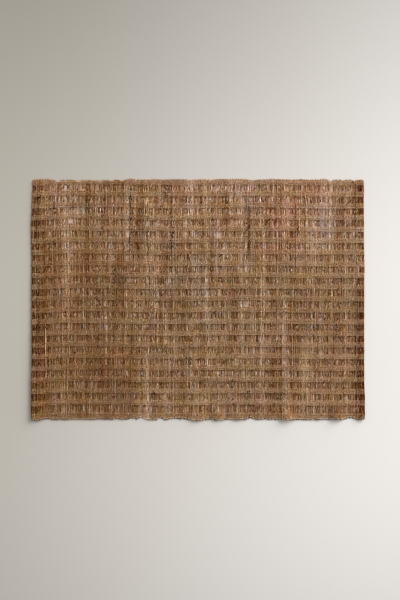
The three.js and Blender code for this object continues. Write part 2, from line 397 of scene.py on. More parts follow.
def swept(name, parts, section, material):
    """One object made of ribbons. Each part is (points, normals, half widths, heights, twists, colours),
    with one row for each ribbon and one column for each ring, or one value for all of them."""
    section = np.array(section, float)
    sides = len(section)
    all_points, all_faces, all_colours = [], [], []
    start = 0
    for points, normals, *forms, colour in parts:
        half, height, twist = (np.broadcast_to(form, points.shape[:2]) for form in forms)
        colour = np.broadcast_to(colour, points.shape)
        along = np.gradient(points, axis=1)
        along /= np.linalg.norm(along, axis=-1, keepdims=True) + 1e-12
        across = np.cross(along, normals)
        across /= np.linalg.norm(across, axis=-1, keepdims=True) + 1e-12
        up = np.cross(across, along)
        turned_across = across * np.cos(twist)[..., None] + up * np.sin(twist)[..., None]
        turned_up = up * np.cos(twist)[..., None] - across * np.sin(twist)[..., None]
        ring = (
            points[:, :, None]
            + turned_across[:, :, None] * (section[:, 0] * half[..., None])[..., None]
            + turned_up[:, :, None] * (section[:, 1] * height[..., None])[..., None]
        )
        ring[..., 2] = np.maximum(ring[..., 2], LOWEST)
        ribbons, rings = points.shape[:2]
        index = start + np.arange(ribbons * rings * sides).reshape(ribbons, rings, sides)
        near, far = index[:, :-1], index[:, 1:]
        wall = np.stack([near, np.roll(near, -1, axis=2), np.roll(far, -1, axis=2), far], axis=-1)
        all_faces.append(wall.reshape(-1, 4))
        caps = [index[:, 0, ::-1], index[:, -1]]
        all_faces.extend(cap.reshape(-1, sides) for cap in caps)
        all_points.append(ring.reshape(-1, 3))
        all_colours.append(np.repeat(colour[:, :, None], sides, axis=2).reshape(-1, 3))
        start += ribbons * rings * sides
    mesh = bpy.data.meshes.new(name)
    faces = [face.tolist() for group in all_faces for face in group]
    mesh.from_pydata(np.concatenate(all_points).tolist(), [], faces)
    colours = np.concatenate(all_colours)
    tint = mesh.color_attributes.new("tint", "FLOAT_COLOR", "POINT")
    tint.data.foreach_set("color", np.concatenate([colours, np.ones((len(colours), 1))], axis=1).ravel())
    mesh.shade_smooth()
    mesh.set_sharp_from_angle(angle=SHARP_ANGLE)
    mesh.materials.append(material)
    mesh.update()
    return new_object(name, mesh)


# Materials
SPECKLE_GRAIN = (600, 420, 600)
NOISE_RANGE = (0.25, 0.75)  # most of the noise lies in it
NOISE_ROUGHNESS = 0.6
GREYER_WHERE_LIGHT = -0.22  # the power of the value that the saturation follows
DRYNESS = (0.72, 0.95)  # the range of the roughness
FIBRE_SHADER = {"Specular IOR Level": 0.12, "Sheen Weight": 0.02, "Sheen Roughness": 0.6}
RELIEF = 0.6


def new_material(name):
    """A material, its tree and its shader."""
    material = bpy.data.materials.new(name)
    material.use_nodes = True
    return material, material.node_tree, material.node_tree.nodes["Principled BSDF"]


def fill(tree, made, inputs):
    """Gives each input of a node its value, or links it where the value is a socket."""
    for key, value in inputs.items():
        if isinstance(value, bpy.types.NodeSocket):
            tree.links.new(value, made.inputs[key])
        else:
            made.inputs[key].default_value = value


def node(tree, kind, inputs, output, **settings):
    """The output of a new shader node."""
    made = tree.nodes.new("ShaderNode" + kind)
    for key, value in settings.items():
        setattr(made, key, value)
    fill(tree, made, inputs)
    return made.outputs[output]


def map_range(tree, value, start, end, kind="LINEAR"):
    """The value, with the range start spread over the range end."""
    ranges = {"From Min": start[0], "From Max": start[1], "To Min": end[0], "To Max": end[1]}
    return node(tree, "MapRange", {"Value": value, **ranges}, "Result", interpolation_type=kind)


def spread_noise(tree, place, grain, amount, detail):
    """Stretched noise, spread by the amount to both sides of 1, and the same noise from 0 to 1."""
    stretched = node(tree, "Mapping", {"Vector": place, "Scale": grain}, "Vector")
    inputs = {"Vector": stretched, "Scale": 1.0, "Detail": detail, "Roughness": NOISE_ROUGHNESS}
    noise = node(tree, "TexNoise", inputs, "Fac")
    return map_range(tree, noise, NOISE_RANGE, (1 - amount, 1 + amount)), noise


def fibre_material(name, grain, streak, speckle, depth):
    """Dry plant fibre. grain is how fine it is across X, Y and Z, streak and speckle how much it varies."""
    material, tree, shader = new_material(name)
    tint = node(tree, "VertexColor", {}, "Color", layer_name="tint")
    place = node(tree, "TexCoord", {}, "Object")
    streaks, fine = spread_noise(tree, place, grain, streak, 3.0)
    speckles, _ = spread_noise(tree, place, SPECKLE_GRAIN, speckle, 1.0)
    lighter = node(tree, "Math", {0: streaks, 1: speckles}, "Value", operation="MULTIPLY")
    greyer = node(tree, "Math", {0: lighter, 1: GREYER_WHERE_LIGHT}, "Value", operation="POWER")
    paint = {"Color": tint, "Value": lighter, "Saturation": greyer}
    relief = {"Strength": RELIEF, "Distance": depth, "Height": fine}
    fill(tree, shader, {
        "Base Color": node(tree, "HueSaturation", paint, "Color"),
        "Roughness": map_range(tree, fine, (0, 1), DRYNESS),
        "Normal": node(tree, "Bump", relief, "Normal"),
        **FIBRE_SHADER,
    })
    return material


# The course of a strip, from the selvage at -Y to the one at +Y
CELL_RINGS = (0.07, 0.34, 0.64, 0.9)
CELL_DIP = (0.8, 0.9, 0.9, 1.0)  # how much of its depth a bare strip has at each of these rings
CELL_FREE = (0.3, 1.0, 1.0, 0.3)  # how free it is there to turn and to narrow
# Painted shade: the bare strips are darker at these rings beside the bands, most of all in the shadow under
# the band above.
CELL_SHADE_BY_BANDS = (7, -3, 4, 16)  # how much darker it is there
BAND_RINGS = (0.1, 0.9)
RINGS_A_BAND = len(BAND_RINGS) + len(CELL_RINGS)


def course(x):
    """y of every ring for strips at x, and the bare stretch that each ring is in, or -1."""
    ys, cells = [], []
    for band in range(BAND_COUNT - 1, -1, -1):
        low, high = band_lines(x, band)
        if band == BAND_COUNT - 1:
            low = low + TURN_REACH
        if band == 0:
            high = high - TURN_REACH
        for share in BAND_RINGS:
            ys.append(low + share * (high - low))
            cells.append(-1)
        if band:
            above = band_lines(x, band - 1)[0]
            for share in CELL_RINGS:
                ys.append(high + share * (above - high))
                cells.append(band - 1)
    return np.stack(ys, axis=1), np.array(cells)


def by_cell(values, cells):
    """Spreads values, one column a bare stretch, over the rings."""
    return values[:, np.maximum(cells, 0)]


def in_every_cell(values, cells):
    """The values at the rings of every bare stretch, and 0 at those of the bands."""
    rings = np.zeros(len(cells))
    rings[cells >= 0] = np.tile(values, BAND_COUNT - 1)
    return rings


def in_hem(x):
    return np.abs(x) > END_LINE - HEM_WIDTH


# How uneven the strips are, as a spread, as a middle and a spread, or as the least and the most
WIDTH_SPREAD = 0.28
NARROWING = (0.92, 0.18)  # the share of its room that a bare strip fills
NARROWING_LIMITS = (0.45, 1.2)
DRAWN_FROM = 1.7  # the value of a field from which the strips are drawn together
DRAWN_WIDTH = 0.66
HEM_STRIP_WIDTH = 1.1
TURNED = 0.16
TWISTED_SHARE = 0.14  # of the bare strips, those that are twisted
TWISTED = 0.8
TWIST_LIMIT = 1.1
TWIST_NARROWS = 0.4
ASIDE = 0.28 * MM
RING_ASIDE = 0.12 * MM
DRIFT = 0.5 * MM
SUNK = (-0.5 * MM, 0.2 * MM)
SUNK_LIMITS = (-0.85 * MM, -0.05 * MM)
RING_RISE = 0.06 * MM

# How much the value changes with the column of strips, the strip, the stretch, the ring and the group
CELL_COLUMN, CELL_OWN, CELL_EACH, CELL_RING, CELL_GROUP = 10, 11, 10, 8, 9
BAND_COLUMN, BAND_OWN, BAND_RING = 6, 4.5, 8
OWN_CHANGES = 0.5  # how much of a strip's own value changes along it
# Painted light and shade: how much lighter it is at the selvage at +Y than in the middle,
# and darker at +X, with more painted light close to that selvage
CELL_PAINTED_LIGHT_Y, CELL_PAINTED_SHADE_X = 9, 3
BAND_PAINTED_LIGHT_Y = 3
BACK_PAINTED_LIGHT = 7
BACK_PAINTED_LIGHT_REACH = 80 * MM
# Thin places, where light comes through: how much lighter, less red and less yellow
THIN_LIGHTER, THIN_LESS_RED, THIN_LESS_YELLOW = 26, 4, 6
THIN_FROM = 1.0  # the value of a field from which the cloth is thin

# The turns at the selvages
TURN_ANGLES = np.radians([25, 90, 155])
TURN_SQUARENESS = 0.4  # the power of the sine that their outline follows
BACK_TURN_OUT = 0.15 * MM
FRONT_TURN_IN = 0.3 * MM
TURN_RISE = 0.08 * MM
BACK_TURN_HALF = 0.92 * MM
FRONT_TURN_HALF = 0.85 * MM
TURN_UNEVEN = (0.8, 1.2)
BACK_TURN_SHADE = 0.9
FRONT_TURN_SHADE = 0.45  # painted shade: darker, as the loops at -Y lie in shadow
SHADOW_DOT_LIMITS = (0.15, 3)


def strip_places():
    """The middle and the width of each strip, across the cloth."""
    widths = STRIP_WIDTH * np.exp(rng.normal(0, WIDTH_SPREAD, 400))
    ends = np.cumsum(widths) - CLOTH_HALF
    count = int(np.searchsorted(ends, CLOTH_HALF))
    widths = widths[:count] * (2 * CLOTH_HALF / widths[:count].sum())
    return np.cumsum(widths) - widths / 2 - CLOTH_HALF, widths


def strip_form(s, widths, x, y, cells):
    """At every ring, each strip's place across, its height, half its width and its twist."""
    stretches = (len(s), BAND_COUNT)
    in_cell = cells >= 0
    free = in_every_cell(CELL_FREE, cells)
    narrow = by_cell(np.clip(rng.normal(*NARROWING, stretches), *NARROWING_LIMITS), cells)
    drawn = soft_field(8, 12)(x, y)
    narrow = narrow * np.where(drawn > DRAWN_FROM, DRAWN_WIDTH, 1.0)
    narrow = np.where(in_hem(x), HEM_STRIP_WIDTH, narrow)
    turned = by_cell(rng.normal(0, TURNED, stretches), cells)
    some = rng.random(stretches) < TWISTED_SHARE
    twisted = by_cell(some * rng.normal(0, TWISTED, stretches), cells)
    twist = np.where(in_cell, np.clip(turned + twisted, -TWIST_LIMIT, TWIST_LIMIT), 0) * free
    width = widths[:, None] * np.where(in_cell, 1 + (narrow - 1) * free, 1.0)
    width = width * (1 - TWIST_NARROWS * np.abs(np.sin(twist)))
    aside = by_cell(rng.normal(0, ASIDE, stretches), cells) + rng.normal(0, RING_ASIDE, y.shape)
    drift = soft_field(40, 60)(x, y) * DRIFT
    across = s[:, None] + np.where(in_cell, aside, 0) * free + drift
    level = np.clip(by_cell(rng.normal(*SUNK, stretches), cells), *SUNK_LIMITS)
    up = np.where(in_cell, level, 0.0) * in_every_cell(CELL_DIP, cells)
    up = up + rng.normal(0, RING_RISE, y.shape)
    return across, up, width / 2, twist


def strip_colour(s, x, y, cells):
    """The colour of each strip at every ring."""
    in_cell = cells >= 0
    light, red, yellow = patch_tones(x, y)
    column = COLUMN_TONE(x, y)
    own = rng.normal(0, 1, (len(s), 1))
    own = own + OWN_CHANGES * soft_field(5, 50)(scattered(x, 7), y)
    each = by_cell(rng.normal(0, 1, (len(s), BAND_COUNT)), cells)
    ring = rng.normal(0, 1, y.shape)
    thin = np.clip(soft_field(9, 10)(x, y) - THIN_FROM, 0, 1) * in_cell * ~in_hem(x)
    for mark_x, low_y, high_y, change in STRIP_MARKS:
        nearest = np.argmin(np.abs(s - mark_x * MM))
        within = (y[nearest] > low_y * MM) & (y[nearest] < high_y * MM)
        light[nearest] += change * within * np.where(in_cell, 1.0, MARK_IN_BANDS)
    cell_hem, band_hem = hem_tone_and_shade(x)
    # Painted light towards the selvage at +Y and painted shade towards +X
    painted_light_slope = CELL_PAINTED_LIGHT_Y * y / BACK_LINE - CELL_PAINTED_SHADE_X * x / END_LINE
    painted_light_slope = painted_light_slope + BACK_PAINTED_LIGHT * bump(y - BACK_LINE, BACK_PAINTED_LIGHT_REACH)
    group = soft_field(4.5, 8)(x, y)
    in_cells, in_bands = liveliness(x, y)
    uneven = CELL_COLUMN * column + CELL_OWN * own + CELL_EACH * each + CELL_RING * ring + CELL_GROUP * group
    cell_green = CELL_GREEN + painted_light_slope + in_cells * uneven
    # with painted shade in the hem and beside the bands
    cell_green = cell_green + THIN_LIGHTER * thin - cell_hem - in_every_cell(CELL_SHADE_BY_BANDS, cells)
    uneven = BAND_COLUMN * column + BAND_OWN * own + BAND_RING * ring
    # The bands also get painted light towards the selvage at +Y
    band_green = BAND_GREEN + BAND_PAINTED_LIGHT_Y * y / BACK_LINE + in_bands * uneven - band_hem
    green = np.maximum(np.where(in_cell, cell_green, band_green) + light, DARKEST_GREEN)
    redder, yellower = hues(x, y)
    share = np.where(in_cell, 1.0, HUE_IN_BANDS)
    red = share * red + redder - THIN_LESS_RED * thin
    yellow = share * yellow + yellower - THIN_LESS_YELLOW * thin
    return tints(green, red, yellow)


def there_and_back(values):
    """The rows with every second one reversed."""
    values = values.copy()
    values[1::2] = values[1::2, ::-1]
    return values


def chained(rows, turns):
    """One long row of all the rows, with the turns in between."""
    body = np.concatenate([rows[:-1], turns], axis=1)
    return np.concatenate([body.reshape(-1, *rows.shape[2:]), rows[-1]])[None]


def make_strips(material):
    """The strips as one weft: every second strip runs back, and a turn joins each to the next.
    Also gives the place of each strip across the cloth."""
    s, widths = strip_places()
    x = fold(s)[0]
    y, cells = course(x)
    across, up, half, twist = strip_form(s, widths, x[:, None], y, cells)
    colour = strip_colour(s, x[:, None], y, cells)
    across, y, up, half, twist, colour = (
        there_and_back(values) for values in (across, y, up, half, twist, colour)
    )
    twist[1::2] *= -1

    at_back = np.arange(len(s) - 1) % 2 == 0
    first, second = across[:-1, -1], across[1:, 0]
    centre, radius = (first + second) / 2, (second - first) / 2
    turn_across = centre[:, None] - radius[:, None] * np.cos(TURN_ANGLES)
    outward = np.where(at_back, TURN_REACH + BACK_TURN_OUT, -TURN_REACH + FRONT_TURN_IN)
    start_y, end_y = y[:-1, -1:], y[1:, :1]
    turn_y = start_y + (end_y - start_y) * (TURN_ANGLES / np.pi)
    turn_y = turn_y + outward[:, None] * np.sin(TURN_ANGLES) ** TURN_SQUARENESS
    turn_up = rng.normal(0, TURN_RISE, turn_y.shape)
    turn_half = np.where(at_back, BACK_TURN_HALF, FRONT_TURN_HALF)[:, None]
    turn_half = turn_half * rng.uniform(*TURN_UNEVEN, turn_y.shape)
    # Painted shade, deeper in some loops than in others, for the dark dots between the loops at -Y
    shadow_dots = np.clip(np.exp(rng.normal(0, 1.0, turn_y.shape)), *SHADOW_DOT_LIMITS)
    shade = np.where(at_back[:, None], BACK_TURN_SHADE, FRONT_TURN_SHADE * shadow_dots)
    turn_colour = (colour[:-1, -1:] + colour[1:, :1]) / 2 * shade[..., None]

    points, normals = placed(chained(across, turn_across), chained(y, turn_y), chained(up, turn_up))
    half, twist = chained(half, turn_half), chained(twist, np.zeros(turn_y.shape))
    parts = [(points, normals, half, STRIP_THICK, twist, chained(colour, turn_colour))]
    return swept("ramie_strips", parts, STRIP_SECTION, material), s


# Loose fibres: how many, how many bands each one crosses, and the share that lies under the strips
FIBRE_GROUPS = [(230, BAND_COUNT, 1.0), (110, BAND_COUNT, 0.25), (170, 9, 0.25), (260, 4, 0.2)]
# Of two values here, the first is for fibres under the strips and the second for the others.
FIBRE_DRIFT = (0.5 * MM, 0.9 * MM)
FIBRE_THICK = (0.2 * MM, 0.3 * MM)
UP_IN_BANDS = (-0.15 * MM, 0.12 * MM)
FIBRE_ASIDE = 0.35 * MM
HELD_ASIDE = 0.3  # how much of it is left in the bands, where the threads hold a fibre
# Heights between the bands as a middle and a spread, widths as the least and the most
UNDER_UP, LOOSE_UP = (-0.8 * MM, 0.08 * MM), (-0.05 * MM, 0.2 * MM)
UNDER_WIDE, LOOSE_WIDE = (1.6 * MM, 2.6 * MM), (0.45 * MM, 1.1 * MM)
FIBRE_UNEVEN = (0.75, 1.2)
FIBRE_TWIST = 0.5
PALE_FROM = 0.8  # of the loose fibres, the share that isn't pale
DARK_UP_TO = 0.28  # and the share that is dark
PALE_LIGHTER, DARK_DARKER, PALE_YELLOWER = 44, 40, 4
# How much the value changes with the fibre and with the ring
UNDER_OWN, LOOSE_OWN, FIBRE_RING = 10, 9, 12
HEM_IN_FIBRES = 0.6  # how much of the hem's darker tone and painted shade the fibres between the bands take


def make_fibres(name, groups, material):
    """Loose fibres that lie along the strips, under them, among them and on them."""
    parts = []
    for count, crossed, under_share in groups:
        each = (count, 1)
        s = rng.uniform(-CLOTH_HALF, CLOTH_HALF, count)
        if under_share == 1:
            s = np.linspace(-CLOTH_HALF, CLOTH_HALF, count)
        x = fold(s)[0]
        y, cells = course(x)
        x = x[:, None]
        start = rng.integers(0, BAND_COUNT - crossed + 1, count) * RINGS_A_BAND
        taken = start[:, None] + np.arange((crossed - 1) * RINGS_A_BAND + len(BAND_RINGS))
        y = np.take_along_axis(y, taken, axis=1)
        in_cell = cells[taken] >= 0

        under = rng.random(each) < under_share
        drift = soft_field(3, 45)(scattered(s[:, None], 9), y) * np.where(under, *FIBRE_DRIFT)
        aside = rng.normal(0, FIBRE_ASIDE, y.shape)
        across = s[:, None] + drift + np.where(in_cell, aside, HELD_ASIDE * aside)
        low = rng.normal(*UNDER_UP, y.shape)
        high = rng.normal(*LOOSE_UP, y.shape)
        up = np.where(in_cell, np.where(under, low, high), np.where(under, *UP_IN_BANDS))
        wide = np.where(under, rng.uniform(*UNDER_WIDE, each), rng.uniform(*LOOSE_WIDE, each))
        wide = wide * rng.uniform(*FIBRE_UNEVEN, y.shape)
        twist = np.where(in_cell & ~under, rng.normal(0, FIBRE_TWIST, y.shape), 0)

        kind = rng.random(each)
        pale, dark = kind > PALE_FROM, kind < DARK_UP_TO
        loose_tone = np.where(pale, PALE_LIGHTER, np.where(dark, -DARK_DARKER, 0))
        loose_tone = loose_tone + LOOSE_OWN * rng.normal(0, 1, each)
        change = np.where(under, UNDER_OWN * rng.normal(0, 1, each), loose_tone)
        change = change + FIBRE_RING * rng.normal(0, 1, y.shape)
        # The fibres under the strips are darker: painted shade beneath the strips
        green = np.where(under, UNDER_GREEN, LOOSE_GREEN) + change * liveliness(x, y)[0]
        light, red, yellow = patch_tones(x, y)
        redder, yellower = hues(x, y)
        cell_hem, band_hem = hem_tone_and_shade(x)
        darker = np.where(in_cell, HEM_IN_FIBRES * cell_hem, band_hem)
        yellower = yellower + np.where(under, 0, PALE_YELLOWER * pale)
        colour = tints(green + light - darker, red + redder, yellow + yellower)
        points, normals = placed(across, y, up)
        parts.append((points, normals, wide / 2, np.where(under, *FIBRE_THICK), twist, colour))
    return swept(name, parts, STRIP_SECTION, material)


# Pale strands that lie on the weave: x, how far they lean to +X, y from and to in millimetres,
# half the width and the middle value
STRANDS = [
    (-229.0, 0, -42, -22, 0.4, 132),
    (-227.6, -0.9, -118, -42, 0.65, 186),
    (-80.5, 0, 124, 153, 0.55, 150),
    (-75, 0, 128, 150, 0.5, 145),
    (152.6, 0.8, 102, 152, 0.75, 146),
    (163.5, 0, 106, 150, 0.5, 148),
    (197.8, 0, 104, 150, 0.5, 146),
    (-52, 0, -96, 14, 0.45, 138),
    (57, 0, -152, -62, 0.5, 140),
    (119, 0, -64, 34, 0.45, 140),
    (-172, 0, -44, 62, 0.45, 134),
]
STRAND_DRIFT = 0.1 * MM  # from ring to ring
STRAND_UP = (0.6 * MM, 0.3 * MM)  # on the bands and on the bare strips
STRAND_UP_SPREAD = 0.12 * MM
STRAND_THICK = 0.4 * MM
STRAND_UNEVEN = (0.7, 1.2)
STRAND_TWIST = 0.25
STRAND_DARKER_IN_BANDS = 30
STRAND_RING = 14
STRAND_HUE = (7, 10)


def make_strands(material):
    """Strands on top of the strips, held down here and there by a thread."""
    parts = []
    for x, lean, low_y, high_y, half, green in STRANDS:
        y, cells = course(np.array([x * MM]))
        taken = (y[0] > low_y * MM) & (y[0] < high_y * MM)
        y = y[:, taken]
        count = y.shape[1]
        in_band = cells[taken] < 0
        drift = np.cumsum(rng.normal(0, STRAND_DRIFT, count))
        across = (x * MM + lean * MM * np.linspace(0, 1, count) + drift)[None]
        up = np.where(in_band, *STRAND_UP) + rng.normal(0, STRAND_UP_SPREAD, y.shape)
        widths = half * MM * rng.uniform(*STRAND_UNEVEN, y.shape)
        tone = green - STRAND_DARKER_IN_BANDS * in_band + rng.normal(0, STRAND_RING, y.shape)
        twist = rng.normal(0, STRAND_TWIST, y.shape)
        points, normals = placed(across, y, up)
        parts.append((points, normals, widths, STRAND_THICK, twist, tints(tone, *STRAND_HUE)))
    return swept("pale_strands", parts, STRIP_SECTION, material)


# Short ends of fibre: how many, where they start and end as heights above a band's lower line,
# how far they stand up at both ends, and their middle value and its spread.
# The pale ends are painted highlights, and the dark ends high in the bare stretches are painted shadow under
# the band above.
SHORT_GROUPS = [
    (420, (5.3, 6.8), (8.2, 11.0), (0.3, -0.3), (136, 26)),
    (900, (9.5, 12.0), (13.5, 16.0), (-0.3, -0.3), (148, 28)),
    (1700, (14.2, 15.6), (16.6, 17.6), (-0.4, -0.25), (40, 12)),
    (700, (8.0, 11.0), (12.0, 14.5), (-0.3, -0.3), (46, 12)),
    (520, (1.2, 3.0), (3.8, 6.0), (0.75, 0.75), (144, 22)),
]
STRAY = 0.6  # how much chance there is in where they gather


def gathered(count):
    """Random places across the cloth and bands, more of them in some columns than in others."""
    s = rng.uniform(-CLOTH_HALF, CLOTH_HALF, 2 * count)
    band = rng.integers(1, BAND_COUNT, 2 * count)
    wish = soft_field(6, 45)(s, BACK_LINE - band * BAND_PITCH)
    wish = wish + rng.normal(0, STRAY, 2 * count)
    kept = np.argsort(-wish)[:count]
    return s[kept], band[kept]


# Columns of dark pinholes between the strips, as dark specks of painted shade: x, y from and to in
# millimetres, and how many there are
PINHOLES = [
    (-152, -2, 34, 12), (-143, 96, 132, 12), (-101, 68, 160, 50), (-48, 150, 172, 10), (-39, 66, 132, 30),
    (34, 20, 92, 18), (76, 66, 142, 36), (-124, 24, 46, 12), (-122, -52, -36, 6), (-184, -86, -72, 6),
    (-66, -166, -120, 12), (53, -160, -120, 11), (76, -160, -120, 12), (208, -64, -26, 10),
    (-216, 74, 146, 16), (150, 96, 130, 10), (-10, -110, -40, 14), (118, -118, -60, 12),
    (-244, -165, 100, 36), (-239.5, -120, 165, 46), (-230, -105, 110, 24), (-225.5, -110, -8, 18),
    (-143, -140, 60, 16), (-127, -60, 45, 16),
]
# Other pinholes, all over the mat: how many, and from and to above a band's lower line in millimetres
SCATTERED_PINHOLES = [(170, 0.0, 2.2), (110, 7.9, 9.8)]
HOLE_GREEN = (14, 3)  # the middle value and its spread
HOLE_HUE = (-25, -17)  # less red and less yellow than the fibre, so nearly black
HOLE_RISE = 0.75 * MM  # the specks lie on the loose fibres
HOLE_ASIDE = 1.7 * MM
HOLE_HALF = (0.4 * MM, 0.75 * MM)
HOLE_HALF_LENGTH = (0.5 * MM, 1.2 * MM)
HOLE_TAPER = np.array([0.8, 1.0, 0.8])
HOLE_THICK = 0.2 * MM

# Heights above the middle of the cloth
OVER_BAND = 1.05 * MM
OVER_STRIPS = 0.35 * MM


def over_weave(x, y):
    """How high above the middle of the cloth something lies on the weave at x and y."""
    over_band = np.zeros(y.shape, bool)
    for band in range(BAND_COUNT):
        low, high = band_lines(x, band)
        over_band |= (y > low) & (y < high)
    return np.where(over_band, OVER_BAND, OVER_STRIPS)


def pinholes():
    """The dark pinholes as small dark specks on the weave, painted shade of the gaps between the strips."""
    places = []
    for at_x, from_y, to_y, count in PINHOLES:
        s = at_x * MM + rng.normal(0, HOLE_ASIDE, (count, 1))
        places.append((s, rng.uniform(from_y, to_y, (count, 1)) * MM))
    for count, from_up, to_up in SCATTERED_PINHOLES:
        s, band = gathered(count)
        line = lower_line(s, band)
        places.append((s[:, None], line[:, None] + rng.uniform(from_up, to_up, (count, 1)) * MM))
    parts = []
    for s, middle in places:
        y = middle + rng.uniform(*HOLE_HALF_LENGTH, s.shape) * np.array([-1, 0, 1])
        points, normals = placed(s, y, over_weave(s, y) + HOLE_RISE)
        half = rng.uniform(*HOLE_HALF, s.shape) * HOLE_TAPER
        green = rng.normal(*HOLE_GREEN, s.shape)
        parts.append((points, normals, half, HOLE_THICK, 0, tints(green, *HOLE_HUE)))
    return parts


# The short ends of fibre
THREE_RINGS = np.array([0, 0.5, 1.0])  # how far along an end or a hair each of its rings is
SHORT_LEAN = 0.45 * MM
SHORT_DRIFT = 0.12 * MM
SHORT_UP_SPREAD = 0.1 * MM
SHORT_HALF = (0.3 * MM, 0.62 * MM)
SHORT_TAPER = np.array([0.8, 1.0, 0.6])
SHORT_THICK = 0.3 * MM
SHORT_TWIST = 0.4
SHORT_RING = 8
SHORT_LIVELIEST = 1.1
HEM_IN_SHORT = 0.7  # how much of the hem's darker tone and painted shade they take


def make_short_fibres(material):
    """Short ends that stick out of the weave, pale ones as painted highlights, dark as painted shadow."""
    parts = []
    for count, start, end, stand, (middle, spread) in SHORT_GROUPS:
        each = (count, 1)
        s, band = gathered(count)
        x = fold(s)[0]
        line = lower_line(x, band)
        x = x[:, None]
        first = line + rng.uniform(*start, count) * MM
        last = line + rng.uniform(*end, count) * MM
        y = first[:, None] + (last - first)[:, None] * THREE_RINGS
        lean = rng.normal(0, SHORT_LEAN, each)
        across = s[:, None] + lean * (THREE_RINGS - 0.5) + rng.normal(0, SHORT_DRIFT, y.shape)
        up = (stand[0] + (stand[1] - stand[0]) * THREE_RINGS) * MM
        up = up + rng.normal(0, SHORT_UP_SPREAD, y.shape)
        half = rng.uniform(*SHORT_HALF, each) * SHORT_TAPER
        green = rng.normal(middle, spread, each) + rng.normal(0, SHORT_RING, y.shape)
        lively = np.minimum(liveliness(x, y)[0], SHORT_LIVELIEST)
        green = LOOSE_GREEN + (green - LOOSE_GREEN) * lively
        green = green - HEM_IN_SHORT * hem_tone_and_shade(x)[0]
        colour = tints(green, *hues(x, y))
        points, normals = placed(across, y, up)
        parts.append((points, normals, half, SHORT_THICK, rng.normal(0, SHORT_TWIST, y.shape), colour))
    return swept("short_fibres", parts + pinholes(), STRIP_SECTION, material)


# Hairs that stick out of the edges: the way out along X and Y, how many, how long they are
# and half their width in millimetres, and their middle value
HAIRS = [
    ((0, -1), 600, (0.3, 1.7), 0.15, 98),
    ((0, 1), 350, (0.3, 1.0), 0.13, 96),
    ((-1, 0), 420, (0.5, 1.8), 0.16, 92),
    ((1, 0), 200, (0.3, 0.9), 0.13, 96),
]
HAIR_ROOT = 0.7 * MM  # how far inside a selvage they start
HAIR_DEPTH = 0.1 * MM  # below the middle of the cloth
HAIR_ROUND_END = (0.6, 1.5)  # where they start on the fold at a hemmed end, in fold radii
HAIR_ASIDE = 0.5  # in lengths, like the next
HAIR_RISE = (-0.2, 0.2)
HAIR_DRIFT = 0.08 * MM
HAIR_TAPER = np.array([1.0, 0.9, 0.5])
HAIR_THICK = 1.4  # in half widths
HAIR_SPREAD = 22
HAIR_YELLOWER = 4
# Dark specks right on the edge at -Y, painted shadow in the gaps between the loops
EDGE_SHADOW_SPECKS = 170
EDGE_SHADOW_GREEN = (26, 6)  # the middle value and its spread
EDGE_SHADOW_IN = (0.4 * MM, 1.3 * MM)  # from the edge
EDGE_SHADOW_LENGTH = 1.0 * MM
EDGE_SHADOW_UP = 0.35 * MM
EDGE_SHADOW_HALF = (0.4 * MM, 0.8 * MM)
EDGE_SHADOW_TAPER = np.array([0.7, 1.0, 0.7])
EDGE_SHADOW_THICK = 0.3 * MM


def hair_roots(out_x, out_y, count):
    """Random places along one edge, as s and y."""
    if out_y:
        s = rng.uniform(-FOLD_START, FOLD_START, count)
        return s, (back_edge(s) if out_y > 0 else front_edge(s)) - HAIR_ROOT * out_y
    s = out_x * (FOLD_START + FOLD_RADIUS * rng.uniform(*HAIR_ROUND_END, count))
    return s, rng.uniform(FRONT_LINE, BACK_LINE, count)


def edge_shadow_specks():
    """Dark specks on the edge at -Y, painted shadow in the gaps between the loops."""
    s = rng.uniform(-FOLD_START, FOLD_START, EDGE_SHADOW_SPECKS)
    each = (EDGE_SHADOW_SPECKS, 1)
    y = front_edge(s)[:, None] + rng.uniform(*EDGE_SHADOW_IN, each) + EDGE_SHADOW_LENGTH * THREE_RINGS
    points, normals = placed(s[:, None], y, EDGE_SHADOW_UP)
    green = rng.normal(*EDGE_SHADOW_GREEN, each)
    half = rng.uniform(*EDGE_SHADOW_HALF, each) * EDGE_SHADOW_TAPER
    return points, normals, half, EDGE_SHADOW_THICK, 0, tints(green, 0, 0)


def make_hairs(material):
    """Fine hairs round the edges of the mat and the dark specks of painted shadow on its edge at -Y."""
    parts = []
    for (out_x, out_y), count, reach, half, middle in HAIRS:
        s, y = hair_roots(out_x, out_y, count)
        roots = placed(s[:, None], y[:, None], -HAIR_DEPTH)[0]
        length = rng.uniform(*reach, count) * MM + HAIR_ROOT * abs(out_y)
        aside = rng.normal(0, HAIR_ASIDE, count) * length
        way = np.stack([
            out_x * length + aside * abs(out_y),
            out_y * length + aside * abs(out_x),
            rng.normal(*HAIR_RISE, count) * length,
        ], axis=-1)
        points = roots + way[:, None] * THREE_RINGS[:, None]
        points = points + rng.normal(0, HAIR_DRIFT, points.shape)
        colour = tints(rng.normal(middle, HAIR_SPREAD, (count, 1)), 0, HAIR_YELLOWER)
        half_widths = half * MM * HAIR_TAPER
        parts.append((points, (0, 0, 1), half_widths, HAIR_THICK * half_widths, 0, colour))
    return swept("edge_hairs", parts + [edge_shadow_specks()], STRIP_SECTION, material)


# The stitches of the hems
STITCH_LINES = (-240.1 * MM, 238.2 * MM)
STITCH_END = 176 * MM  # the y at which the rows end
STITCH_PITCH = 3.2 * MM
STITCH_LENGTH = 2.0 * MM
STITCH_UNEVEN = (0.8, 1.2)
STITCH_SHIFT = 0.25 * MM
STITCH_ASIDE = 0.15 * MM
STITCH_HALF = 0.4 * MM
STITCH_GREEN = (118, 18)  # the middle value and its spread
STITCH_YELLOWER = 6
# Where along its length each ring of a stitch is, and how far it lies above the weave there
STITCH_RINGS = np.array([-0.5, -0.3, 0.3, 0.5])
STITCH_RISE = np.array([-0.5, 0, 0, -0.5]) * MM


